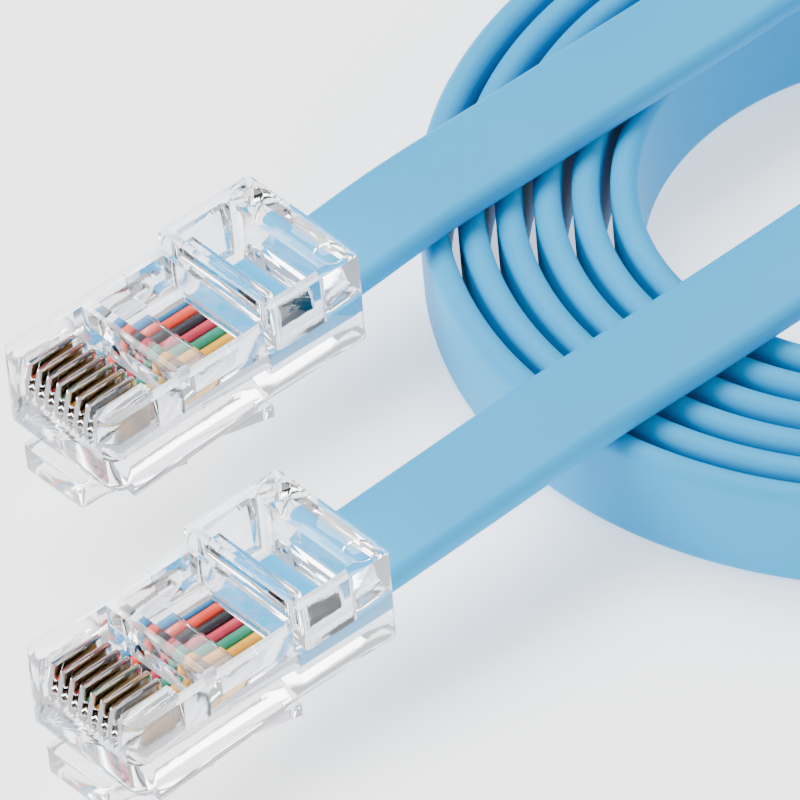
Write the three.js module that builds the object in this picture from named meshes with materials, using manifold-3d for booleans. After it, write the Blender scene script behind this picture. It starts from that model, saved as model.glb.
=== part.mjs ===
// A network console cable: one flat eight-wire cable, wound into a coil of six turns on edge,
// with a clear eight-contact modular plug on each end. Millimetres, +Z up.
// Origin: on the floor, under the middle of the two plugs. +X runs from the plugs' front faces
// towards the coil.
import * as THREE from "three";
import { mergeVertices } from "three/addons/utils/BufferGeometryUtils.js";
import Module from "manifold-3d";

const wasm = await Module();
wasm.setup();

// Plug housing
const plugLength = 22.6; // front face to rear face
const plugWidth = 11.68;
const frontHeight = 6.1; // the part that goes into the socket
const rearHeight = 7.5; // the taller block behind it
const rearBlockLength = 8.2;
const footChamfer = 0.5; // along the lower front edge
const blockChamfer = 0.4; // along the rear block's upper edges
const sideWall = 0.85; // beside the recesses in the top
const railWidth = 1.3; // along the lower side edges
const railStart = 1.5;
const railEnd = 12.6;
const railDepth = 1.05; // at its front end
const railEndDepth = 0.35;

// Contacts and wires
const wayCount = 8;
const wayPitch = 1.016;
const contactThickness = 0.34;
const contactFront = 0.7; // set back from the front face
const contactLength = 3.5;
const contactRecess = 0.5; // below the top face
const contactNoseRadius = 0.8;
const contactClearance = 0.11; // to each side of its slot
const wireDiameter = 0.94;
const wireClearance = 0.12;
const wireHeight = 2.45; // wire centres above the housing's underside
const wireFront = 1.2; // wire ends behind the front face

// Flat cable and the way it enters the plug
const cableWidth = 8.0;
const cableThickness = 1.95;
const cableEdgeRadius = 0.85;
const cableHeight = 2.2; // cable's middle above the housing's underside
const jacketInPlug = 7.7; // length of jacket inside the housing
const cableClearance = 0.25; // round the jacket inside the housing
const mouthFlare = 0.4; // extra room all round at the housing's mouth
const mouthDepth = 2.0;
const endGap = 0.3; // between pieces that touch

// Recesses in the housing's top
const frontRecessEnd = 6.7; // behind the contact slots, open down to the wires
const ribRadius = 0.8; // rear upper corners of the ribs between the contacts
const windowRecessStart = 7.8;
const recessEndWall = 0.4; // between this recess and the rear block's face
const recessFloor = 4.0; // above the underside
const windowLength = 3.2; // the wires lie open along this end of the recess
const windowWidth = 6.3;
const pocketFrontWall = 0.7; // ahead of the pocket in the rear block
const pocketRearWall = 3.0; // behind it
const flapWidth = 8.2;
const flapDrop = 0.4; // strain relief flap: its upper end below the block's top
const flapOpening = 2.6; // and its lower end, on the jacket, ahead of the pocket's rear wall
const flapThickness = 1.1;

// Latch under the housing
const latchReach = 1.0; // nose ahead of the front face
const noseWidth = 6.2;
const noseHeight = 2.1;
const noseBack = 1.0; // rear of the nose, behind the front face
const noseRadius = 0.5; // nose corners, seen from below
const shoulderStart = 8.2;
const shoulderEnd = 9.4;
const leverWidth = 3.5;
const leverThickness = 1.1;
const latchEnd = 17.1; // lever tip behind the front face
const latchDrop = 6.45; // lever tip below the housing's underside
const latchGap = 0.3; // nose below the housing's underside

// Where the plugs lie
const plugSpacing = 24.0; // between the two cables' centre lines
const plugStagger = 18.3; // plug b lies this far ahead of plug a

// Coil
const coilCentre = new THREE.Vector2(58.1, -9.75);
const turnCount = 6;
const turnPitch = 2.66;
const coilInnerRadius = 19.1;
const turnEdgeSteps = 4; // facets round each turn's edge

const wireColours = [0x2c6fc4, 0xd9482a, 0x1d1c1f, 0xb3202c, 0x2f8a3c, 0xc9a227, 0x7a4a2a, 0xb9bcc0];
const clearPlastic = new THREE.MeshStandardMaterial({
  color: 0xdde6ea, roughness: 0.12, metalness: 0, transparent: true, opacity: 0.35,
});
const gold = new THREE.MeshStandardMaterial({ color: 0xd4a94e, roughness: 0.25, metalness: 1 });
const jacket = new THREE.MeshStandardMaterial({ color: 0x8fb6e0, roughness: 0.45, metalness: 0 });

function solid(geometry) {
  const bare = geometry.index ? geometry.toNonIndexed() : geometry.clone();
  bare.deleteAttribute("normal");
  bare.deleteAttribute("uv");
  const merged = mergeVertices(bare, 1e-4);
  const mesh = new wasm.Mesh({
    numProp: 3,
    vertProperties: new Float32Array(merged.attributes.position.array),
    triVerts: new Uint32Array(merged.index.array),
  });
  return new wasm.Manifold(mesh);
}

function geometryOf(manifold) {
  const mesh = manifold.getMesh();
  const geometry = new THREE.BufferGeometry();
  geometry.setAttribute("position", new THREE.BufferAttribute(mesh.vertProperties, 3));
  geometry.setIndex(new THREE.BufferAttribute(mesh.triVerts, 1));
  geometry.computeVertexNormals();
  return geometry;
}

function named(name, geometry, material) {
  const mesh = new THREE.Mesh(geometry, material);
  mesh.name = name;
  return mesh;
}

// A box from its low corner to its high corner.
function block(x0, x1, y0, y1, z0, z1) {
  const box = new THREE.BoxGeometry(x1 - x0, y1 - y0, z1 - z0);
  box.translate((x0 + x1) / 2, (y0 + y1) / 2, (z0 + z1) / 2);
  return solid(box);
}

// A side outline, given as x along the plug and y up, made as wide as width about the middle.
function sideSlab(shape, width) {
  const slab = new THREE.ExtrudeGeometry(shape, { depth: width, bevelEnabled: false, curveSegments: 6 });
  slab.rotateX(Math.PI / 2);
  slab.translate(0, width / 2, 0);
  return slab;
}

const wayOffset = (way) => ((wayCount - 1) / 2 - way) * wayPitch;
const cut = 1; // how far a cutting box runs past the face it cuts
const blockStart = plugLength - rearBlockLength;
const jacketStart = plugLength - jacketInPlug;
const windowRecessEnd = blockStart - recessEndWall;
const windowStart = windowRecessEnd - windowLength;
const pocketStart = blockStart + pocketFrontWall;
const pocketEnd = plugLength - pocketRearWall;
const flapTop = rearHeight - flapDrop;
const flapEnd = pocketEnd - flapOpening;
const wireTop = wireHeight + wireDiameter / 2;
const wireRoomTop = wireTop + wireClearance;
const wireRoomBottom = wireHeight - wireDiameter / 2 - wireClearance;
const jacketRoomTop = cableHeight + cableThickness / 2 + cableClearance;
const jacketRoomBottom = cableHeight - cableThickness / 2 - cableClearance;

function housingOutline() {
  const outline = new THREE.Shape();
  outline.moveTo(footChamfer, 0);
  outline.lineTo(plugLength, 0);
  outline.lineTo(plugLength, rearHeight - blockChamfer);
  outline.lineTo(plugLength - blockChamfer, rearHeight);
  outline.lineTo(blockStart + blockChamfer, rearHeight);
  outline.lineTo(blockStart, rearHeight - blockChamfer);
  outline.lineTo(blockStart, frontHeight);
  outline.lineTo(0, frontHeight);
  outline.lineTo(0, footChamfer);
  return outline;
}

// The room for the cable's jacket, widening to the housing's rear mouth.
function mouthRoom() {
  const halfWidth = cableWidth / 2 + cableClearance;
  const straight = block(
    jacketStart - endGap, plugLength + cut, -halfWidth, halfWidth, jacketRoomBottom, jacketRoomTop);
  const flare = new THREE.BoxGeometry(mouthDepth + cut, 2 * halfWidth, jacketRoomTop - jacketRoomBottom);
  const corners = flare.attributes.position;
  const grow = (mouthFlare * (mouthDepth + cut)) / mouthDepth;
  for (let i = 0; i < corners.count; i++) {
    if (corners.getX(i) < 0) continue;
    corners.setY(i, corners.getY(i) + Math.sign(corners.getY(i)) * grow);
    corners.setZ(i, corners.getZ(i) + Math.sign(corners.getZ(i)) * grow);
  }
  flare.translate(plugLength - mouthDepth + (mouthDepth + cut) / 2, 0, cableHeight);
  return straight.add(solid(flare));
}

// The room for the wires.
function wireRoom() {
  const halfWidth = (wayCount * wayPitch) / 2 + wireClearance;
  return block(
    wireFront - endGap, jacketStart, -halfWidth, halfWidth, wireRoomBottom, wireRoomTop);
}

// A slot for one contact, between ribs whose rear upper corners are round.
function contactSlot(way) {
  const width = contactThickness + 2 * contactClearance;
  const end = contactFront + contactLength + endGap;
  const y = wayOffset(way);
  return block(-cut, end, y - width / 2, y + width / 2, wireTop, frontHeight + cut);
}

function frontRecess() {
  const start = contactFront + contactLength + endGap;
  const outline = new THREE.Shape();
  outline.moveTo(start, wireTop);
  outline.lineTo(frontRecessEnd, wireTop);
  outline.lineTo(frontRecessEnd, frontHeight + cut);
  outline.lineTo(start - ribRadius, frontHeight + cut);
  outline.lineTo(start - ribRadius, frontHeight);
  outline.absarc(start - ribRadius, frontHeight - ribRadius, ribRadius, Math.PI / 2, 0, true);
  return solid(sideSlab(outline, plugWidth - 2 * sideWall));
}

// The strain relief flap slopes down from the pocket's front edge onto the jacket.
function strainFlap() {
  const outline = new THREE.Shape();
  outline.moveTo(pocketStart - endGap, flapTop);
  outline.lineTo(pocketStart - endGap, flapTop - flapThickness);
  outline.lineTo(flapEnd - flapThickness / 2, jacketRoomTop);
  outline.lineTo(flapEnd, jacketRoomTop);
  outline.lineTo(flapEnd, jacketRoomTop + flapThickness / 2);
  outline.lineTo(pocketStart + flapThickness, flapTop);
  return solid(sideSlab(outline, flapWidth));
}

// The rails along the lower side edges, cut from one slab so that the latch passes between them.
function sideRails() {
  const outline = new THREE.Shape();
  outline.moveTo(railStart - railDepth / 4, cut / 2);
  outline.lineTo(railStart, -railDepth);
  outline.lineTo(railEnd, -railEndDepth);
  outline.lineTo(railEnd + railEndDepth, cut / 2);
  const middle = plugWidth / 2 - railWidth;
  return solid(sideSlab(outline, plugWidth))
    .subtract(block(0, plugLength, -middle, middle, -railDepth - cut, cut));
}

function makeHousing(name) {
  const recessHalf = plugWidth / 2 - sideWall;
  let body = solid(sideSlab(housingOutline(), plugWidth)).add(sideRails());
  body = body.subtract(wireRoom()).subtract(mouthRoom()).subtract(frontRecess());
  for (let way = 0; way < wayCount; way++) body = body.subtract(contactSlot(way));
  body = body.subtract(
    block(windowRecessStart, windowRecessEnd, -recessHalf, recessHalf, recessFloor, frontHeight + cut));
  body = body.subtract(
    block(windowStart, windowRecessEnd, -windowWidth / 2, windowWidth / 2, wireTop, frontHeight));
  body = body.subtract(
    block(pocketStart, pocketEnd, -recessHalf, recessHalf, jacketRoomTop - endGap, rearHeight + cut));
  return named(name, geometryOf(body.add(strainFlap())), clearPlastic);
}

// The latch, seen from the side: a nose bar and a lever that slopes down to the rear.
function latchOutline() {
  const noseBottom = -latchGap - noseHeight;
  const outline = new THREE.Shape();
  outline.moveTo(-latchReach, -latchGap);
  outline.lineTo(-latchReach, noseBottom + noseHeight / 4);
  outline.lineTo(-latchReach + noseHeight / 4, noseBottom);
  outline.lineTo(noseBack, noseBottom);
  outline.lineTo(latchEnd, -latchDrop);
  outline.lineTo(latchEnd, -latchDrop + leverThickness);
  outline.lineTo(noseBack, noseBottom + leverThickness);
  outline.lineTo(noseBack, -latchGap);
  return outline;
}

// The latch, seen from below: a wide nose with round corners, shoulders and a narrow lever.
function latchPlan() {
  const plan = new THREE.Shape();
  plan.moveTo(-latchReach + noseRadius, -noseWidth / 2);
  plan.lineTo(shoulderStart, -noseWidth / 2);
  plan.lineTo(shoulderEnd, -leverWidth / 2);
  plan.lineTo(latchEnd, -leverWidth / 2);
  plan.lineTo(latchEnd, leverWidth / 2);
  plan.lineTo(shoulderEnd, leverWidth / 2);
  plan.lineTo(shoulderStart, noseWidth / 2);
  plan.lineTo(-latchReach + noseRadius, noseWidth / 2);
  plan.absarc(-latchReach + noseRadius, noseWidth / 2 - noseRadius, noseRadius, Math.PI / 2, Math.PI);
  plan.absarc(-latchReach + noseRadius, noseRadius - noseWidth / 2, noseRadius, Math.PI, 1.5 * Math.PI);
  return plan;
}

function makeLatch(name) {
  const side = solid(sideSlab(latchOutline(), noseWidth + 2 * cut));
  const height = latchDrop + 2 * cut;
  const planSlab = new THREE.ExtrudeGeometry(latchPlan(), {
    depth: height, bevelEnabled: false, curveSegments: 5,
  });
  planSlab.translate(0, 0, cut - height);
  return named(name, geometryOf(side.intersect(solid(planSlab))), clearPlastic);
}

function makeContact(name, way) {
  const bottom = wireTop + endGap / 2;
  const top = frontHeight - contactRecess;
  const outline = new THREE.Shape();
  outline.moveTo(contactFront, bottom);
  outline.lineTo(contactFront + contactLength, bottom);
  outline.lineTo(contactFront + contactLength, top);
  outline.lineTo(contactFront + contactNoseRadius, top);
  outline.absarc(
    contactFront + contactNoseRadius, top - contactNoseRadius, contactNoseRadius, Math.PI / 2, Math.PI);
  const contact = named(name, sideSlab(outline, contactThickness), gold);
  contact.position.y = wayOffset(way);
  return contact;
}

function makeWire(name, way) {
  const length = jacketStart - endGap - wireFront;
  const rod = new THREE.CylinderGeometry(wireDiameter / 2, wireDiameter / 2, length, 16);
  rod.rotateZ(Math.PI / 2);
  const colour = new THREE.MeshStandardMaterial({ color: wireColours[way], roughness: 0.4, metalness: 0 });
  const wire = named(name, rod, colour);
  wire.position.set(wireFront + length / 2, wayOffset(way), wireHeight);
  return wire;
}

const plugFrontA = (plugStagger + latchReach - plugLength) / 2;
const plugFrontB = plugFrontA - plugStagger;

function makePlug(letter, frontX, middleY) {
  const plug = new THREE.Group();
  plug.position.set(frontX, middleY, latchDrop);
  plug.add(makeHousing("housing_" + letter), makeLatch("latch_" + letter));
  for (let way = 0; way < wayCount; way++) {
    plug.add(makeContact("contact_" + letter + (way + 1), way));
    plug.add(makeWire("wire_" + letter + (way + 1), way));
  }
  return plug;
}

// A cable's route with a roll in degrees at each point: 0 lies flat, 90 stands on edge.
class FlatCableRoute extends THREE.CatmullRomCurve3 {
  constructor(points, rolls) {
    super(points, false, "centripetal");
    this.rolls = rolls;
  }

  rollAt(u) {
    const place = this.getUtoTmapping(u) * (this.rolls.length - 1);
    const before = Math.min(Math.floor(place), this.rolls.length - 2);
    const share = place - before;
    const roll = this.rolls[before] * (1 - share) + this.rolls[before + 1] * share;
    return THREE.MathUtils.degToRad(roll);
  }

  computeFrenetFrames(segments) {
    const frames = { tangents: [], normals: [], binormals: [] };
    const up = new THREE.Vector3(0, 0, 1);
    for (let i = 0; i <= segments; i++) {
      const tangent = this.getTangentAt(i / segments);
      const side = new THREE.Vector3().crossVectors(up, tangent).normalize();
      side.applyAxisAngle(tangent, this.rollAt(i / segments));
      frames.tangents.push(tangent);
      frames.normals.push(side);
      frames.binormals.push(new THREE.Vector3().crossVectors(tangent, side));
    }
    return frames;
  }
}

// The cable's section: a flat strip with round edges.
function cableSection() {
  const x = cableWidth / 2 - cableEdgeRadius;
  const y = cableThickness / 2 - cableEdgeRadius;
  const section = new THREE.Shape();
  section.absarc(x, -y, cableEdgeRadius, -Math.PI / 2, 0);
  section.absarc(x, y, cableEdgeRadius, 0, Math.PI / 2);
  section.absarc(-x, y, cableEdgeRadius, Math.PI / 2, Math.PI);
  section.absarc(-x, -y, cableEdgeRadius, Math.PI, 1.5 * Math.PI);
  return section;
}

function makeLead(name, points, steps) {
  const route = new FlatCableRoute(
    points.map(([x, y, z]) => new THREE.Vector3(x, y, z)),
    points.map(([, , , roll]) => roll),
  );
  const tube = new THREE.ExtrudeGeometry(cableSection(), {
    steps, curveSegments: 1, bevelEnabled: false, extrudePath: route,
  });
  return named(name, tube, jacket);
}

// The coil as one turned ring. Its turns show as round ridges on the upper and lower ends.
function makeCoil() {
  const profile = [];
  const upper = cableWidth - cableEdgeRadius;
  for (let turn = turnCount - 1; turn >= 0; turn--) {
    const middle = coilInnerRadius + (turn + 0.5) * turnPitch;
    for (let step = 0; step < turnEdgeSteps; step++) {
      const angle = (Math.PI * step) / turnEdgeSteps;
      const r = middle + (turnPitch / 2) * Math.cos(angle);
      profile.push(new THREE.Vector2(r, upper + cableEdgeRadius * Math.sin(angle)));
    }
  }
  profile.push(new THREE.Vector2(coilInnerRadius, upper));
  const lower = profile.map((p) => new THREE.Vector2(p.x, cableWidth - p.y)).reverse();
  const closed = [...profile, ...lower, profile[0].clone()];
  const ring = new THREE.LatheGeometry(closed, 48);
  ring.rotateX(Math.PI / 2);
  ring.translate(coilCentre.x, coilCentre.y, 0);
  return named("coil", ring, jacket);
}

// Route points: x and y, height of the cable's middle, roll. Each lead starts inside its plug.
const leadHeight = latchDrop + cableHeight;
const leadPointsA = [
  [plugFrontA + jacketStart, 12, leadHeight, 0],
  [plugFrontA + plugLength, 12, leadHeight, 0],
  [30, 12, 9.35, 0],
  [40, 12, 9.4, 0],
  [50, 12, 9.4, 0],
  [58, 12, 9.4, 0],
  [63.1, 12, 9.5, 2],
  [66.9, 10.9, 9.95, 12],
  [70.2, 7.8, 10.5, 26],
  [72.5, 3.5, 10.4, 46],
  [74.0, -0.9, 9.3, 66],
  [75.1, -5.3, 7.6, 82],
  [75.6, -10.1, 5.9, 90],
  [74.9, -14.9, 4.9, 90],
  [73.2, -19.0, 4.3, 90],
  [70.6, -22.3, 4.08, 90],
];
const leadPointsB = [
  [plugFrontB + jacketStart, -12, leadHeight, 0],
  [plugFrontB + plugLength, -12, leadHeight, 0],
  [12, -12, 9.0, 0],
  [22, -12, 9.4, 0],
  [36, -12, 9.4, 0],
  [50, -12, 9.7, 0],
  [62, -12, 10.6, 0],
  [70, -12, 11.8, 0],
  [77, -12, 12.3, 0],
  [84, -12, 11.7, 0],
  [92, -12, 10.3, 0],
  [98, -11.8, 9.1, 4],
  [103.6, -10.2, 8.0, 26],
  [108.4, -6.6, 6.6, 54],
  [111.8, -1.6, 5.3, 78],
  [113.2, 4.2, 4.4, 90],
  [112.2, 10.4, 4.08, 90],
  [108.8, 16.3, 4.08, 90],
  [103.4, 20.9, 4.08, 90],
  [96.6, 24.0, 4.08, 90],
  [88.6, 25.7, 4.08, 90],
  [80.4, 26.0, 4.08, 90],
  [73.3, 25.6, 4.08, 90],
  [69.9, 25.1, 4.08, 90],
];

const consoleCable = new THREE.Group();
consoleCable.add(makePlug("a", plugFrontA, plugSpacing / 2));
consoleCable.add(makePlug("b", plugFrontB, -plugSpacing / 2));
consoleCable.add(makeLead("lead_a", leadPointsA, 30));
consoleCable.add(makeLead("lead_b", leadPointsB, 46));
consoleCable.add(makeCoil());

export default consoleCable;
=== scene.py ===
import math
import bpy
from mathutils import Matrix, Vector


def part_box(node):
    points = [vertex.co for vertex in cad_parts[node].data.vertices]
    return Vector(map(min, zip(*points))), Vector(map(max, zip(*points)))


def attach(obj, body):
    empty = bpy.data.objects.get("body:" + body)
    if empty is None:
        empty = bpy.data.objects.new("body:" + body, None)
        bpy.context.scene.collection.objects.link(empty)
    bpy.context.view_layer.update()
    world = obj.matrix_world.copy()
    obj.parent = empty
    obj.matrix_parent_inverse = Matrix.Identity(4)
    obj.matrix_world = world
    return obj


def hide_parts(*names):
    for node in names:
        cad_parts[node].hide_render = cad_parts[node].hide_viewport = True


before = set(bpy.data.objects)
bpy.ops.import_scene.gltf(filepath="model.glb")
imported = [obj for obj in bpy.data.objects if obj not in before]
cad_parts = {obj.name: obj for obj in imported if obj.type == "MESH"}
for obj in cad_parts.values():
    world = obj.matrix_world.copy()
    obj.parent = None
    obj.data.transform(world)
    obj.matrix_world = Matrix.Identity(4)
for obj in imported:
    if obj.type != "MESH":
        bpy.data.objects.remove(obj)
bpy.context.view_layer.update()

MM = 0.001

# Plug sizes, in millimetres from the front face, the middle line and the housing's underside
PLUG_LENGTH = 22.6
PLUG_WIDTH = 11.68
FRONT_HEIGHT = 6.1
REAR_HEIGHT = 7.5
BLOCK_START = 14.4
FOOT_CHAMFER = 0.5
SIDE_WALL = 0.85
FRONT_ROUND, REAR_ROUND, POCKET_ROUND = 1.0, 0.5, 0.5
EDGE_SOFTNESS = 0.07
RIB_SLOPE = 0.8
PIN_MARK_RADIUS, PIN_MARK_DEPTH = 1.1, 0.22
PIN_MARK_PLACE = (21.1, 4.25)
RAIL_WIDTH = 1.3
RAIL_START, RAIL_END = 1.5, 12.6
RAIL_DEPTH, RAIL_END_DEPTH = 1.05, 0.35
WAYS = 8
WAY_PITCH = 1.016
WIRE_DIAMETER = 0.94
WIRE_HEIGHT = 2.45
WIRE_FRONT = 1.2
WIRE_ROOM_GAP = 0.12
BLADE_FRONT, BLADE_LENGTH, BLADE_THICKNESS = 0.7, 3.5, 0.34
BLADE_TOP, BLADE_ROUND, BLADE_SOFTNESS = 5.35, 0.8, 0.04
BLADE_LIFT = 0.15
SLOT_WIDTH, SLOT_END = 0.56, 4.5
COPPER_INSET, COPPER_LENGTH, COPPER_REACH = 0.2, 0.12, 0.3
WELL_END = 6.7
RECESS_START, RECESS_END, RECESS_FLOOR = 7.8, 14.0, 4.0
WINDOW_START, WINDOW_WIDTH = 10.8, 6.3
POCKET_START, POCKET_END = 15.1, 19.6
FLAP_TOP, FLAP_END, FLAP_THICKNESS, FLAP_WIDTH = 7.1, 17.0, 1.1, 8.2
FLAP_FLAT, FLAP_ROUND, FLAP_GAP = 0.9, 0.3, 0.05
LATCH_DROP = 6.45
LATCH_GAP = 0.3
NOSE_REACH, NOSE_BACK, NOSE_HEIGHT, NOSE_WIDTH, NOSE_RADIUS = 1.0, 1.0, 2.1, 6.2, 0.5
SHOULDER_START, SHOULDER_END, LATCH_END = 8.2, 9.4, 17.1
LEVER_WIDTH, LEVER_THICKNESS = 3.5, 1.1
LATCH_SOFTNESS = 0.12

# Flat cable
CABLE_WIDTH, CABLE_THICKNESS, CABLE_EDGE = 8.0, 1.95, 0.85
CABLE_HEIGHT = 2.2
MOUTH_GAP, MOUTH_FLARE, MOUTH_FLARE_LENGTH, MOUTH_ROUND = 0.2, 0.5, 2.0, 0.8
JACKET_START = 14.9
LEAD_HEIGHT = LATCH_DROP + CABLE_HEIGHT

# Where the plugs lie: front face and middle line, taken from the housings in the frame
PLUG_FRONT = {
    letter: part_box("housing_" + letter)[0][0] / MM
    for letter in "ab"
}
PLUG_MIDDLE = {
    letter: (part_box("housing_" + letter)[0][1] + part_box("housing_" + letter)[1][1]) / 2 / MM
    for letter in "ab"
}

# The leads' route: x, y, height of the cable's middle and roll, 90 on edge
LEAD_A = [
    (PLUG_FRONT["a"] + JACKET_START, 12, LEAD_HEIGHT, 0),
    (PLUG_FRONT["a"] + PLUG_LENGTH, 12, LEAD_HEIGHT, 0),
    (30, 12, 9.35, 0),
    (40, 12, 9.4, 0),
    (50, 12, 9.4, 0),
    (58, 12, 9.4, 0),
    (63.1, 12, 9.5, 2),
    (66.9, 10.9, 9.95, 12),
    (70.2, 7.8, 10.5, 26),
    (72.5, 3.5, 10.4, 46),
    (74.0, -0.9, 9.3, 66),
    (75.1, -5.3, 7.6, 82),
    (75.6, -10.1, 5.9, 90),
    (74.9, -14.9, 4.9, 90),
    (73.2, -19.0, 4.3, 90),
    (70.6, -22.3, 4.08, 90),
]
LEAD_B = [
    (PLUG_FRONT["b"] + JACKET_START, -12, LEAD_HEIGHT, 0),
    (PLUG_FRONT["b"] + PLUG_LENGTH, -12, LEAD_HEIGHT, 0),
    (12, -12, 9.0, 0),
    (22, -12, 9.4, 0),
    (36, -12, 9.4, 0),
    (50, -12, 9.7, 0),
    (62, -12, 10.6, 0),
    (70, -12, 11.8, 0),
    (77, -12, 12.3, 0),
    (84, -12, 11.7, 0),
    (92, -12, 10.3, 0),
    (98, -11.8, 9.1, 4),
    (103.6, -10.2, 8.0, 26),
    (108.4, -6.6, 6.6, 54),
    (111.8, -1.6, 5.3, 78),
    (113.2, 4.2, 4.4, 90),
    (112.2, 10.4, 4.08, 90),
    (108.8, 16.3, 4.08, 90),
    (103.4, 20.9, 4.08, 90),
    (96.6, 24.0, 4.08, 90),
    (88.6, 25.7, 4.08, 90),
    (80.4, 26.0, 4.08, 90),
    (73.3, 25.6, 4.08, 90),
    (69.9, 25.1, 4.08, 90),
]
COIL_CENTRE = (58.1, -9.75)
TURN_PITCH = 2.66
TURNS = 5.567
COIL_START_ANGLE = -60.0
COIL_START_RADIUS = 19.6
COIL_HEIGHT = 4.08
COIL_UNEVEN = 0.15
COIL_STEP = 6.0
CABLE_STEP = 0.8
EDGE_STEPS = 5

# Camera, fitted to the photo: screen axes, the point at the picture's middle, the width it shows
SCREEN_RIGHT = Vector((0.7509, -0.6594, -0.0696))
SCREEN_UP = Vector((0.4792, 0.4648, 0.7440))
PICTURE_WIDTH = 54.6 * MM
CAMERA_DISTANCE = 1.0
SENSOR = 36.0
AIM_RIGHT, AIM_DOWN = 10.21 * MM, 15.46 * MM
ANCHOR = Vector((PLUG_FRONT["a"] + PLUG_LENGTH + 0.15, 17.84, LATCH_DROP + REAR_HEIGHT)) * MM


# Building tools

def deselect():
    bpy.ops.object.select_all(action="DESELECT")


def pick(piece):
    deselect()
    piece.select_set(True)
    bpy.context.view_layer.objects.active = piece


def settle(piece):
    """Puts the piece's place, turn and size into its mesh."""
    pick(piece)
    bpy.ops.object.transform_apply(location=True, rotation=True, scale=True)


def cube(name, x0, x1, y0, y1, z0, z1):
    """A block from its low to its high corner, in millimetres."""
    deselect()
    middle = Vector(((x0 + x1) / 2, (y0 + y1) / 2, (z0 + z1) / 2)) * MM
    bpy.ops.mesh.primitive_cube_add(size=1, location=middle)
    piece = bpy.context.object
    piece.name = name
    piece.scale = Vector((x1 - x0, y1 - y0, z1 - z0)) * MM
    settle(piece)
    return piece


def cylinder(name, centre, radius, length, axis="Z", sides=32):
    """A round bar about its centre, in millimetres."""
    deselect()
    turn = {"X": (0, math.pi / 2, 0), "Y": (math.pi / 2, 0, 0), "Z": (0, 0, 0)}[axis]
    bpy.ops.mesh.primitive_cylinder_add(
        vertices=sides, radius=radius * MM, depth=length * MM,
        location=Vector(centre) * MM, rotation=turn)
    piece = bpy.context.object
    piece.name = name
    settle(piece)
    return piece


def select_where(piece, test, what="faces"):
    """In edit mode, selects the faces or edges whose middle passes the test, in millimetres."""
    pick(piece)
    bpy.ops.object.mode_set(mode="EDIT")
    bpy.ops.mesh.select_mode(type={"faces": "FACE", "edges": "EDGE", "verts": "VERT"}[what])
    bpy.ops.mesh.select_all(action="DESELECT")
    bpy.ops.object.mode_set(mode="OBJECT")
    mesh = piece.data
    if what == "faces":
        for face in mesh.polygons:
            face.select = bool(test(face.center / MM, face.normal))
    elif what == "edges":
        for edge in mesh.edges:
            low, high = (mesh.vertices[v].co / MM for v in edge.vertices)
            edge.select = bool(test(low, high))
    else:
        for vertex in mesh.vertices:
            vertex.select = bool(test(vertex.co / MM))
    bpy.ops.object.mode_set(mode="EDIT")


def leave_edit():
    bpy.ops.object.mode_set(mode="OBJECT")


def bisect(piece, point, normal):
    """Adds a ring of edges where the plane crosses the piece."""
    pick(piece)
    bpy.ops.object.mode_set(mode="EDIT")
    bpy.ops.mesh.select_all(action="SELECT")
    bpy.ops.mesh.bisect(plane_co=Vector(point) * MM, plane_no=normal)
    leave_edit()


def push(piece, test, move):
    """Extrudes the faces that pass the test by a move in millimetres."""
    select_where(piece, test)
    bpy.ops.mesh.extrude_region_move(TRANSFORM_OT_translate={"value": Vector(move) * MM})
    leave_edit()


def shift(piece, test, move):
    """Moves the vertices that pass the test, in millimetres."""
    select_where(piece, test, "verts")
    bpy.ops.transform.translate(value=Vector(move) * MM)
    leave_edit()


def round_edges(piece, test, radius, segments=6):
    """Bevels the edges whose two ends pass the test."""
    select_where(piece, test, "edges")
    bpy.ops.mesh.bevel(offset=radius * MM, segments=segments, affect="EDGES")
    leave_edit()


def apply_modifier(piece, kind, **settings):
    """Adds a modifier with its settings and applies it."""
    pick(piece)
    modifier = piece.modifiers.new(kind.lower(), kind)
    for name, value in settings.items():
        setattr(modifier, name, value)
    bpy.ops.object.modifier_apply(modifier=modifier.name)


def combine(piece, tool, operation):
    """Cuts the tool from the piece or joins it on, and removes the tool."""
    apply_modifier(piece, "BOOLEAN", object=tool, operation=operation, solver="EXACT")
    bpy.data.objects.remove(tool, do_unlink=True)


def soften(piece, width, segments=2, angle=35):
    """Small round edges all over, then smooth shading between them."""
    apply_modifier(
        piece, "BEVEL", width=width * MM, segments=segments, limit_method="ANGLE",
        angle_limit=math.radians(angle), use_clamp_overlap=True)
    pick(piece)
    bpy.ops.object.shade_smooth_by_angle(angle=math.radians(40))


def copied(piece, name, move):
    """A copy with its own mesh, moved in its mesh, in millimetres."""
    deselect()
    twin = piece.copy()
    twin.data = piece.data.copy()
    twin.name = name
    bpy.context.collection.objects.link(twin)
    twin.location = Vector(move) * MM
    settle(twin)
    return twin


def place_in_plug(letter):
    """Where a plug's front, middle line and underside are, in millimetres."""
    return (PLUG_FRONT[letter], PLUG_MIDDLE[letter], LATCH_DROP)


# Material tools

def new_material(name):
    material = bpy.data.materials.new(name)
    material.use_nodes = True
    tree = material.node_tree
    shader = tree.nodes["Principled BSDF"]
    return material, tree, shader


def node(tree, kind, **settings):
    made = tree.nodes.new(kind)
    for name, value in settings.items():
        if name in made.inputs:
            made.inputs[name].default_value = value
        else:
            setattr(made, name, value)
    return made


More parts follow.
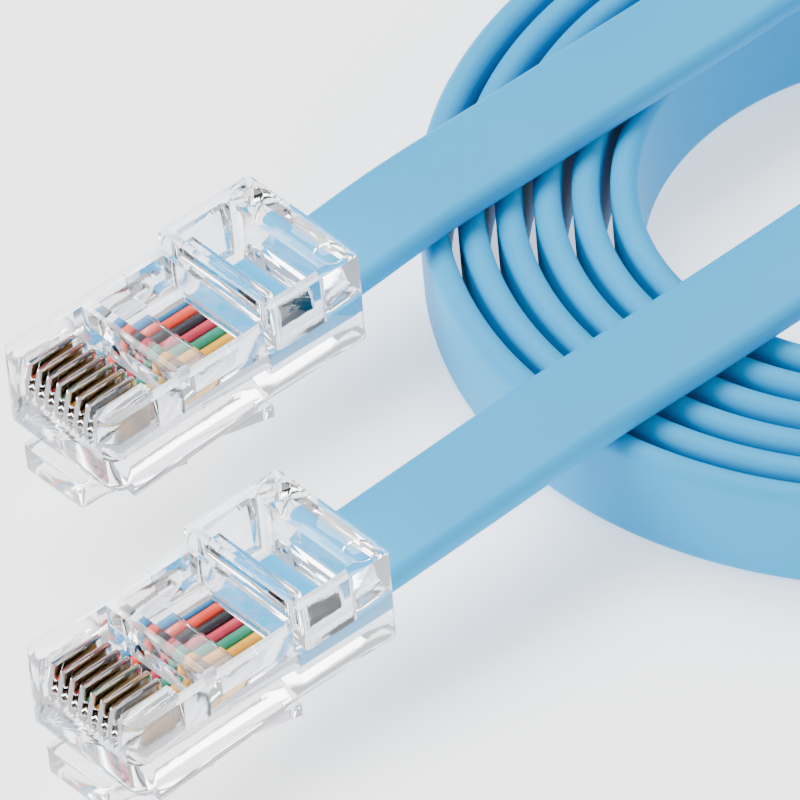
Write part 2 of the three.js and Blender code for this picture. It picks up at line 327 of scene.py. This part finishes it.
def grain_group():
    """Fine moulding grain: a height, and a slow mask for colour and roughness changes."""
    group = bpy.data.node_groups.new("moulding_grain", "ShaderNodeTree")
    face = group.interface
    face.new_socket("Place", in_out="INPUT", socket_type="NodeSocketVector")
    for name, value in (("Fine scale", 4000.0), ("Slow scale", 120.0), ("Low", 0.0), ("High", 1.0)):
        made = face.new_socket(name, in_out="INPUT", socket_type="NodeSocketFloat")
        made.default_value = value
    face.new_socket("Height", in_out="OUTPUT", socket_type="NodeSocketFloat")
    face.new_socket("Slow", in_out="OUTPUT", socket_type="NodeSocketFloat")
    put_in = node(group, "NodeGroupInput")
    put_out = node(group, "NodeGroupOutput")
    fine = node(group, "ShaderNodeTexNoise", Detail=4.0, Roughness=0.6)
    slow = node(group, "ShaderNodeTexNoise", Detail=3.0, Roughness=0.5)
    spread = node(group, "ShaderNodeMapRange")
    link = group.links.new
    link(put_in.outputs["Place"], fine.inputs["Vector"])
    link(put_in.outputs["Place"], slow.inputs["Vector"])
    link(put_in.outputs["Fine scale"], fine.inputs["Scale"])
    link(put_in.outputs["Slow scale"], slow.inputs["Scale"])
    link(slow.outputs["Fac"], spread.inputs["Value"])
    spread.inputs["From Min"].default_value = 0.3
    spread.inputs["From Max"].default_value = 0.7
    link(put_in.outputs["Low"], spread.inputs["To Min"])
    link(put_in.outputs["High"], spread.inputs["To Max"])
    link(fine.outputs["Fac"], put_out.inputs["Height"])
    link(spread.outputs["Result"], put_out.inputs["Slow"])
    return group


GRAIN = grain_group()
# After this many bounces a ray goes straight through the clear plastic, so that none is lost in it
GLASS_DEPTH = 5.0


def add_grain(tree, shader, fine, slow, low, high, bump, distance):
    """Places the grain group, bumps the surface with it and gives back its slow mask."""
    place = node(tree, "ShaderNodeTexCoord")
    grain = node(tree, "ShaderNodeGroup", node_tree=GRAIN)
    grain.inputs["Fine scale"].default_value = fine
    grain.inputs["Slow scale"].default_value = slow
    grain.inputs["Low"].default_value = low
    grain.inputs["High"].default_value = high
    raised = node(tree, "ShaderNodeBump", Strength=bump, Distance=distance)
    tree.links.new(place.outputs["Object"], grain.inputs["Place"])
    tree.links.new(grain.outputs["Height"], raised.inputs["Height"])
    tree.links.new(raised.outputs["Normal"], shader.inputs["Normal"])
    return grain.outputs["Slow"]


def mixed_colour(tree, shader, mask, first, second):
    """Goes from the first colour to the second as the mask does."""
    blend = node(tree, "ShaderNodeMix", data_type="RGBA")
    blend.inputs[6].default_value = first
    blend.inputs[7].default_value = second
    tree.links.new(mask, blend.inputs["Factor"])
    tree.links.new(blend.outputs[2], shader.inputs["Base Color"])


def clear_plastic(name, tint, roughness_low, roughness_high):
    """Moulded polycarbonate: clear, and open to light from lamps so that what is inside is lit."""
    material, tree, shader = new_material(name)
    shader.inputs["Base Color"].default_value = tint
    shader.inputs["Transmission Weight"].default_value = 1.0
    shader.inputs["IOR"].default_value = 1.585
    slow = add_grain(tree, shader, 900.0, 260.0, roughness_low, roughness_high, 0.06, 0.0001)
    tree.links.new(slow, shader.inputs["Roughness"])
    open_air = node(tree, "ShaderNodeBsdfTransparent")
    open_air.inputs["Color"].default_value = (0.975, 0.98, 0.985, 1)
    which = node(tree, "ShaderNodeLightPath")
    mix = node(tree, "ShaderNodeMixShader")
    out = tree.nodes["Material Output"]
    deep = node(tree, "ShaderNodeMath", operation="GREATER_THAN")
    deep.inputs[1].default_value = GLASS_DEPTH
    tree.links.new(which.outputs["Ray Depth"], deep.inputs[0])
    either = node(tree, "ShaderNodeMath", operation="MAXIMUM")
    tree.links.new(which.outputs["Is Shadow Ray"], either.inputs[0])
    tree.links.new(deep.outputs[0], either.inputs[1])
    tree.links.new(either.outputs[0], mix.inputs[0])
    tree.links.new(shader.outputs[0], mix.inputs[1])
    tree.links.new(open_air.outputs[0], mix.inputs[2])
    tree.links.new(mix.outputs[0], out.inputs["Surface"])
    return material


def jacket_material():
    """Satin vinyl, sky blue, with a fine matt grain."""
    material, tree, shader = new_material("jacket_vinyl")
    slow = add_grain(tree, shader, 2600.0, 90.0, 0.0, 1.0, 0.12, 0.00003)
    mixed_colour(tree, shader, slow, (0.001, 0.290, 0.570, 1), (0.006, 0.320, 0.610, 1))
    rough_between(tree, shader, slow, 0.42, 0.52)
    shader.inputs["Specular IOR Level"].default_value = 0.15
    shader.inputs["Subsurface Weight"].default_value = 0.12
    shader.inputs["Subsurface Scale"].default_value = 0.0006
    shader.inputs["Subsurface Radius"].default_value = (0.5, 0.8, 1.0)
    return material


def insulation_material(name, colour):
    """Satin wire insulation, a little lighter in places."""
    material, tree, shader = new_material("insulation_" + name)
    slow = add_grain(tree, shader, 3000.0, 300.0, 0.0, 1.0, 0.1, 0.00003)
    light = [min(1.0, c * 1.25 + 0.01) for c in colour]
    mixed_colour(tree, shader, slow, (*colour, 1), (*light, 1))
    shader.inputs["Roughness"].default_value = 0.45
    shader.inputs["Specular IOR Level"].default_value = 0.25
    return material


def rough_between(tree, shader, mask, low, high):
    """Goes from the low roughness to the high one as the mask does."""
    spread = node(tree, "ShaderNodeMapRange")
    spread.inputs["To Min"].default_value = low
    spread.inputs["To Max"].default_value = high
    tree.links.new(mask, spread.inputs["Value"])
    tree.links.new(spread.outputs["Result"], shader.inputs["Roughness"])


def metal_material(name, first, second, low, high):
    """Bare or plated metal, its colour and polish changing slowly over it."""
    material, tree, shader = new_material(name)
    shader.inputs["Metallic"].default_value = 1.0
    slow = add_grain(tree, shader, 3500.0, 700.0, 0.0, 1.0, 0.15, 0.00003)
    mixed_colour(tree, shader, slow, first, second)
    rough_between(tree, shader, slow, low, high)
    return material


HOUSING_PLASTIC = clear_plastic("clear_housing", (0.965, 0.967, 0.985, 1), 0.02, 0.06)
LATCH_PLASTIC = clear_plastic("clear_latch", (0.95, 0.953, 0.975, 1), 0.03, 0.08)
JACKET = jacket_material()
GOLD = metal_material("gold_plate", (0.83, 0.50, 0.13, 1), (0.93, 0.64, 0.24, 1), 0.2, 0.34)
BRONZE = metal_material("blade_side", (0.12, 0.06, 0.018, 1), (0.40, 0.23, 0.07, 1), 0.28, 0.5)
COPPER = metal_material("bare_copper", (0.75, 0.32, 0.18, 1), (0.85, 0.42, 0.25, 1), 0.25, 0.4)
WIRE_COLOURS = [
    ("blue", (0.008, 0.17, 0.35)),
    ("orange", (0.60, 0.035, 0.012)),
    ("black", (0.008, 0.008, 0.012)),
    ("red", (0.36, 0.012, 0.035)),
    ("green", (0.001, 0.165, 0.095)),
    ("yellow", (0.55, 0.25, 0.006)),
    ("brown", (0.16, 0.07, 0.035)),
    ("grey", (0.42, 0.43, 0.46)),
]
INSULATION = [insulation_material(name, colour) for name, colour in WIRE_COLOURS]


# Plug housing

def way_place(way):
    """A way's place across the plug, the first on the far side, in millimetres."""
    return ((WAYS - 1) / 2 - way) * WAY_PITCH


def housing_shell():
    """The outer form: a low front part, a taller rear block and two rails below."""
    half = PLUG_WIDTH / 2
    body = cube("housing", 0, PLUG_LENGTH, -half, half, 0, FRONT_HEIGHT)
    bisect(body, (BLOCK_START, 0, 0), (1, 0, 0))
    push(body, lambda c, n: n.z > 0.9 and c.x > BLOCK_START, (0, 0, REAR_HEIGHT - FRONT_HEIGHT))
    for x in (RAIL_START, RAIL_END):
        bisect(body, (x, 0, 0), (1, 0, 0))
    for side in (-1, 1):
        bisect(body, (0, side * (half - RAIL_WIDTH), 0), (0, 1, 0))
    push(body, lambda c, n: n.z < -0.9 and RAIL_START < c.x < RAIL_END
         and abs(c.y) > half - RAIL_WIDTH, (0, 0, -RAIL_DEPTH))
    rise = RAIL_DEPTH - RAIL_END_DEPTH
    shift(body, lambda v: v.z < -RAIL_DEPTH / 2 and v.x > RAIL_END - 0.1, (0, 0, rise))
    round_edges(body, lambda a, b: max(a.x, b.x) < 0.01 and abs(a.y - b.y) < 0.01
                and abs(a.y) > half - 0.01 and abs(a.z - b.z) > 1, FRONT_ROUND)
    round_edges(body, lambda a, b: min(a.x, b.x) > PLUG_LENGTH - 0.01 and abs(a.y - b.y) < 0.01
                and abs(a.y) > half - 0.01, REAR_ROUND)
    return body


def wire_room():
    """The long flat room that the eight wires lie in."""
    half = WAYS * WAY_PITCH / 2 + WIRE_ROOM_GAP
    reach = WIRE_DIAMETER / 2 + WIRE_ROOM_GAP
    return cube("wire_room", WIRE_FRONT - 0.3, JACKET_START, -half, half,
                WIRE_HEIGHT - reach, WIRE_HEIGHT + reach)


def mouth_room():
    """The room for the jacket, widening to the rear mouth, with rounded sides."""
    half = CABLE_WIDTH / 2 + MOUTH_GAP
    reach = CABLE_THICKNESS / 2 + MOUTH_GAP
    room = cube("mouth", JACKET_START - 0.3, PLUG_LENGTH + 1, -half, half,
                CABLE_HEIGHT - reach, CABLE_HEIGHT + reach)
    bisect(room, (PLUG_LENGTH - MOUTH_FLARE_LENGTH, 0, 0), (1, 0, 0))
    for side in (-1, 1):
        shift(room, lambda v: v.x > PLUG_LENGTH and v.y * side > 0, (0, side * MOUTH_FLARE, 0))
        shift(room, lambda v: v.x > PLUG_LENGTH and (v.z - CABLE_HEIGHT) * side > 0,
              (0, 0, side * MOUTH_FLARE))
    round_edges(room, lambda a, b: abs(a.x - b.x) > 1, MOUTH_ROUND)
    return room


def well():
    """The open room behind the contact ribs."""
    half = PLUG_WIDTH / 2 - SIDE_WALL
    floor_height = WIRE_HEIGHT + WIRE_DIAMETER / 2
    return cube("well", SLOT_END, WELL_END, -half, half, floor_height, FRONT_HEIGHT + 1)


def rib_slope():
    """What is cut from the ribs' upper front corners, so that they lean back."""
    half = WAYS * WAY_PITCH / 2
    slope = cube("slope", -1, RIB_SLOPE, -half, half, FRONT_HEIGHT - 2 * RIB_SLOPE, FRONT_HEIGHT + 1)
    shift(slope, lambda v: v.x > 0 and v.z < FRONT_HEIGHT, (-RIB_SLOPE, 0, 0))
    return slope


def strain_flap():
    """The flap pressed down from the pocket's front edge onto the jacket."""
    half = FLAP_WIDTH / 2
    jacket_top = CABLE_HEIGHT + CABLE_THICKNESS / 2 + FLAP_GAP
    flap = cube("flap", POCKET_START - 0.3, POCKET_START + FLAP_FLAT, -half, half,
                FLAP_TOP - FLAP_THICKNESS, FLAP_TOP)
    end = FLAP_END - POCKET_START - FLAP_FLAT
    push(flap, lambda c, n: n.x > 0.9, (end, 0, jacket_top - FLAP_TOP + FLAP_THICKNESS))
    round_edges(flap, lambda a, b: min(a.x, b.x) > FLAP_END - 0.1 and abs(a.y - b.y) > 1,
                FLAP_ROUND, 4)
    return flap


def make_housing():
    """The shell with its rooms, slots, marks and openings cut, and the flap joined on."""
    body = housing_shell()
    half = PLUG_WIDTH / 2 - SIDE_WALL
    combine(body, wire_room(), "DIFFERENCE")
    combine(body, mouth_room(), "DIFFERENCE")
    combine(body, well(), "DIFFERENCE")
    for way in range(WAYS):
        y = way_place(way)
        slot = cube("slot", -1, SLOT_END + 0.2, y - SLOT_WIDTH / 2, y + SLOT_WIDTH / 2,
                    WIRE_HEIGHT + WIRE_DIAMETER / 2 + 0.02, FRONT_HEIGHT + 1)
        combine(body, slot, "DIFFERENCE")
    combine(body, rib_slope(), "DIFFERENCE")
    for side in (-1, 1):
        mark = cylinder("mark", (PIN_MARK_PLACE[0], side * PIN_MARK_PLACE[1], REAR_HEIGHT),
                        PIN_MARK_RADIUS, 2 * PIN_MARK_DEPTH)
        combine(body, mark, "DIFFERENCE")
    recess = cube("recess", RECESS_START, RECESS_END, -half, half, RECESS_FLOOR, FRONT_HEIGHT + 1)
    combine(body, recess, "DIFFERENCE")
    window = cube("window", WINDOW_START, RECESS_END, -WINDOW_WIDTH / 2, WINDOW_WIDTH / 2,
                  WIRE_HEIGHT + WIRE_DIAMETER / 2, RECESS_FLOOR + 0.5)
    combine(body, window, "DIFFERENCE")
    pocket = cube("pocket", POCKET_START, POCKET_END, -half, half,
                  CABLE_HEIGHT + CABLE_THICKNESS / 2, REAR_HEIGHT + 1)
    round_edges(pocket, lambda a, b: abs(a.z - b.z) > 1, POCKET_ROUND)
    combine(body, pocket, "DIFFERENCE")
    combine(body, strain_flap(), "UNION")
    soften(body, EDGE_SOFTNESS)
    return body


# Latch

def make_latch():
    """A nose bar under the front edge, with a lever that slopes down to the rear."""
    half = NOSE_WIDTH / 2
    bottom = -LATCH_GAP - NOSE_HEIGHT
    latch = cube("latch", -NOSE_REACH, NOSE_BACK, -half, half, bottom, -LATCH_GAP)
    bisect(latch, (0, 0, bottom + LEVER_THICKNESS), (0, 0, 1))
    slope = (bottom + LATCH_DROP) / (LATCH_END - NOSE_BACK)
    below = bottom + LEVER_THICKNESS
    reach = SHOULDER_START - NOSE_BACK
    push(latch, lambda c, n: n.x > 0.9 and c.z < below, (reach, 0, -slope * reach))
    reach = SHOULDER_END - SHOULDER_START
    push(latch, lambda c, n: n.x > 0.9 and c.x > SHOULDER_START - 0.1, (reach, 0, -slope * reach))
    inset = (NOSE_WIDTH - LEVER_WIDTH) / 2
    for side in (-1, 1):
        shift(latch, lambda v: v.x > SHOULDER_END - 0.1 and v.y * side > 0, (0, -side * inset, 0))
    reach = LATCH_END - SHOULDER_END
    push(latch, lambda c, n: n.x > 0.9 and c.x > SHOULDER_END - 0.1, (reach, 0, -slope * reach))
    round_edges(latch, lambda a, b: max(a.x, b.x) < -NOSE_REACH + 0.01
                and abs(a.z - b.z) > 0.5, NOSE_RADIUS)
    soften(latch, LATCH_SOFTNESS, 3)
    return latch


# Contacts and wires

def make_blade():
    """A contact: gold on its narrow faces, darker bronze on its two broad sides."""
    bottom = WIRE_HEIGHT + WIRE_DIAMETER / 2 + BLADE_LIFT
    half = BLADE_THICKNESS / 2
    blade = cube("blade", BLADE_FRONT, BLADE_FRONT + BLADE_LENGTH, -half, half, bottom, BLADE_TOP)
    round_edges(blade, lambda a, b: max(a.x, b.x) < BLADE_FRONT + 0.01
                and min(a.z, b.z) > BLADE_TOP - 0.01, BLADE_ROUND)
    soften(blade, BLADE_SOFTNESS)
    blade.data.materials.append(GOLD)
    blade.data.materials.append(BRONZE)
    for face in blade.data.polygons:
        face.material_index = 1 if abs(face.normal.y) > 0.9 else 0
    return blade


def make_wire():
    """A wire from its cut front end to the jacket, with its copper core showing at the end."""
    length = JACKET_START - 0.3 - WIRE_FRONT
    wire = cylinder("wire", (WIRE_FRONT + length / 2, 0, WIRE_HEIGHT), WIRE_DIAMETER / 2,
                    length, "X", 24)
    select_where(wire, lambda c, n: n.x < -0.9)
    bpy.ops.mesh.inset(thickness=COPPER_INSET * MM)
    out = Vector((-COPPER_LENGTH, 0, 0)) * MM
    bpy.ops.mesh.extrude_region_move(TRANSFORM_OT_translate={"value": out})
    leave_edit()
    pick(wire)
    bpy.ops.object.shade_smooth_by_angle(angle=math.radians(40))
    return wire


# Cable

def between(points, knots, t):
    """The smooth curve's place between the middle two of four points."""
    first = [
        points[k].lerp(points[k + 1], (t - knots[k]) / (knots[k + 1] - knots[k]))
        for k in range(3)
    ]
    second = [
        first[k].lerp(first[k + 1], (t - knots[k]) / (knots[k + 2] - knots[k]))
        for k in range(2)
    ]
    return second[0].lerp(second[1], (t - knots[1]) / (knots[2] - knots[1]))


def along(points, spacing):
    """Places every spacing millimetres or so on the smooth curve through the points."""
    line = [Vector(p) for p in points]
    line = [2 * line[0] - line[1], *line, 2 * line[-1] - line[-2]]
    made = []
    for i in range(1, len(line) - 2):
        four = line[i - 1:i + 3]
        knots = [0.0]
        for low, high in zip(four, four[1:]):
            knots.append(knots[-1] + math.sqrt((high.xyz - low.xyz).length))
        steps = max(1, round((four[2].xyz - four[1].xyz).length / spacing))
        for step in range(steps):
            made.append(between(four, knots, knots[1] + (knots[2] - knots[1]) * step / steps))
    made.append(line[-2])
    return made


def coil_points():
    """The turns, wound clockwise and outwards, each standing a touch higher or lower."""
    made = []
    steps = round(TURNS * 360 / COIL_STEP)
    for step in range(steps + 1):
        turned = TURNS * 360 * step / steps
        angle = math.radians(COIL_START_ANGLE - turned)
        radius = COIL_START_RADIUS + TURN_PITCH * turned / 360
        lift = COIL_UNEVEN * (1 + math.sin(math.radians(turned * 0.83))) / 2
        made.append((COIL_CENTRE[0] + radius * math.cos(angle),
                     COIL_CENTRE[1] + radius * math.sin(angle), COIL_HEIGHT + lift, 90))
    return made


def cable_outline():
    """The strip's section, across and up, in millimetres."""
    x = CABLE_WIDTH / 2 - CABLE_EDGE
    y = CABLE_THICKNESS / 2 - CABLE_EDGE
    made = []
    for corner, (cx, cy) in enumerate(((x, -y), (x, y), (-x, y), (-x, -y))):
        for step in range(EDGE_STEPS + 1):
            angle = math.radians(90 * (corner - 1) + 90 * step / EDGE_STEPS)
            made.append((cx + CABLE_EDGE * math.cos(angle), cy + CABLE_EDGE * math.sin(angle)))
    return made


def make_cable():
    """One strip from plug a through the coil to plug b."""
    route = along([*LEAD_A, *coil_points(), *reversed(LEAD_B)], CABLE_STEP)
    outline = cable_outline()
    count = len(outline)
    girth = [0.0]
    for low, high in zip(outline, [*outline[1:], outline[0]]):
        girth.append(girth[-1] + math.dist(low, high))
    rings, lengths = [], [0.0]
    for i, place in enumerate(route):
        ahead = route[min(i + 1, len(route) - 1)].xyz
        behind = route[max(i - 1, 0)].xyz
        tangent = (ahead - behind).normalized()
        side = Vector((0, 0, 1)).cross(tangent).normalized()
        roll = Matrix.Rotation(math.radians(place.w), 3, tangent)
        side = roll @ side
        up = tangent.cross(side)
        rings.append([(place.xyz + side * x + up * y) * MM for x, y in outline])
        if i:
            lengths.append(lengths[-1] + (place.xyz - route[i - 1].xyz).length)
    corners = [corner for ring in rings for corner in ring]
    faces = [
        (i * count + k, i * count + (k + 1) % count,
         (i + 1) * count + (k + 1) % count, (i + 1) * count + k)
        for i in range(len(rings) - 1) for k in range(count)
    ]
    faces += [tuple(reversed(range(count))), tuple(range(len(corners) - count, len(corners)))]
    mesh = bpy.data.meshes.new("flat_cable")
    mesh.from_pydata(corners, [], faces)
    spread = mesh.uv_layers.new(name="along")
    for face in mesh.polygons[:-2]:
        ring, k = divmod(face.index, count)
        for loop, (r, g) in zip(face.loop_indices,
                                ((ring, k), (ring, k + 1), (ring + 1, k + 1), (ring + 1, k))):
            spread.data[loop].uv = (lengths[r] * MM, girth[g] * MM)
    cable = bpy.data.objects.new("flat_cable", mesh)
    bpy.context.collection.objects.link(cable)
    pick(cable)
    bpy.ops.object.mode_set(mode="EDIT")
    bpy.ops.mesh.select_all(action="SELECT")
    bpy.ops.mesh.normals_make_consistent(inside=False)
    leave_edit()
    bpy.ops.object.shade_smooth_by_angle(angle=math.radians(50))
    cable.data.materials.append(JACKET)
    return cable, [place.xyz * MM for place in route]


cable, cable_path = make_cable()
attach(cable, "cable")
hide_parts("lead_a", "coil", "lead_b")


# The two plugs

housing = make_housing()
latch = make_latch()
blade = make_blade()
wire = make_wire()
for letter in "ab":
    x, y, z = place_in_plug(letter)
    shell = copied(housing, "shell_" + letter, (x, y, z))
    shell.data.materials.append(HOUSING_PLASTIC)
    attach(shell, "cable")
    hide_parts("housing_" + letter)
    press = copied(latch, "press_latch_" + letter, (x, y, z))
    press.data.materials.append(LATCH_PLASTIC)
    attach(press, "latch_" + letter)
    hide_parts("latch_" + letter)
    for way in range(WAYS):
        across = y + way_place(way)
        number = letter + str(way + 1)
        gold_blade = copied(blade, "blade_" + number, (x, across, z))
        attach(gold_blade, "cable")
        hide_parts("contact_" + number)
        core = copied(wire, "core_" + number, (x, across, z))
        core.data.materials.append(INSULATION[way])
        core.data.materials.append(COPPER)
        for face in core.data.polygons:
            centre = face.center / MM
            from_axis = math.hypot(centre.y - across, centre.z - z - WIRE_HEIGHT)
            at_front = centre.x < x + WIRE_FRONT + 0.001
            face.material_index = 1 if at_front and from_axis < COPPER_REACH else 0
        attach(core, "cable")
        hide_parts("wire_" + number)
for pattern in (housing, latch, blade, wire):
    bpy.data.objects.remove(pattern, do_unlink=True)


# Floor, light and camera

def floor_material():
    """The plain stage, which shines a little so that it stays pale under soft light."""
    material, tree, shader = new_material("pale_floor")
    slow = add_grain(tree, shader, 400.0, 6.0, 0.0, 1.0, 0.02, 0.0001)
    mixed_colour(tree, shader, slow, (0.955, 0.957, 0.96, 1), (0.97, 0.97, 0.972, 1))
    shader.inputs["Roughness"].default_value = 0.6
    shader.inputs["Specular IOR Level"].default_value = 0.2
    shader.inputs["Emission Color"].default_value = (1, 1, 1, 1)
    shader.inputs["Emission Strength"].default_value = 0.9
    return material


deselect()
bpy.ops.mesh.primitive_plane_add(size=6.0, location=(0, 0, 0))
floor = bpy.context.object
floor.name = "floor"
floor.data.materials.append(floor_material())


def lamp(name, place, aim, size, watts):
    """A rectangular softbox that faces the aim, in metres."""
    light = bpy.data.lights.new(name, "AREA")
    light.shape = "RECTANGLE"
    light.size, light.size_y = size
    light.energy = watts
    holder = bpy.data.objects.new(name, light)
    bpy.context.collection.objects.link(holder)
    holder.location = place
    holder.rotation_euler = (Vector(aim) - Vector(place)).to_track_quat("-Z", "Y").to_euler()


lamp("overhead_softbox", (0.15, 0.45, 0.9), (0.04, 0.0, 0.0), (0.9, 0.6), 16.0)
lamp("left_softbox", (-0.75, 0.25, 0.45), (0.04, 0.0, 0.0), (0.5, 0.5), 8.0)
lamp("right_fill", (0.5, -0.7, 0.4), (0.04, 0.0, 0.0), (0.6, 0.4), 3.5)

world = bpy.data.worlds.new("studio")
world.use_nodes = True
bpy.context.scene.world = world
world.node_tree.nodes["Background"].inputs["Color"].default_value = (0.86, 0.9, 0.95, 1)
world.node_tree.nodes["Background"].inputs["Strength"].default_value = 0.95

right = SCREEN_RIGHT.normalized()
back = right.cross(SCREEN_UP).normalized()
up = back.cross(right)
aim_point = ANCHOR + right * AIM_RIGHT - up * AIM_DOWN
camera_data = bpy.data.cameras.new("camera")
camera_data.sensor_width = SENSOR
camera_data.lens = SENSOR * CAMERA_DISTANCE / PICTURE_WIDTH
camera_data.clip_start = 0.1
camera_data.clip_end = 20
camera = bpy.data.objects.new("camera", camera_data)
bpy.context.collection.objects.link(camera)
camera.matrix_world = Matrix((
    (right.x, up.x, back.x, 0),
    (right.y, up.y, back.y, 0),
    (right.z, up.z, back.z, 0),
    (0, 0, 0, 1),
))
camera.location = aim_point + back * CAMERA_DISTANCE
bpy.context.scene.camera = camera
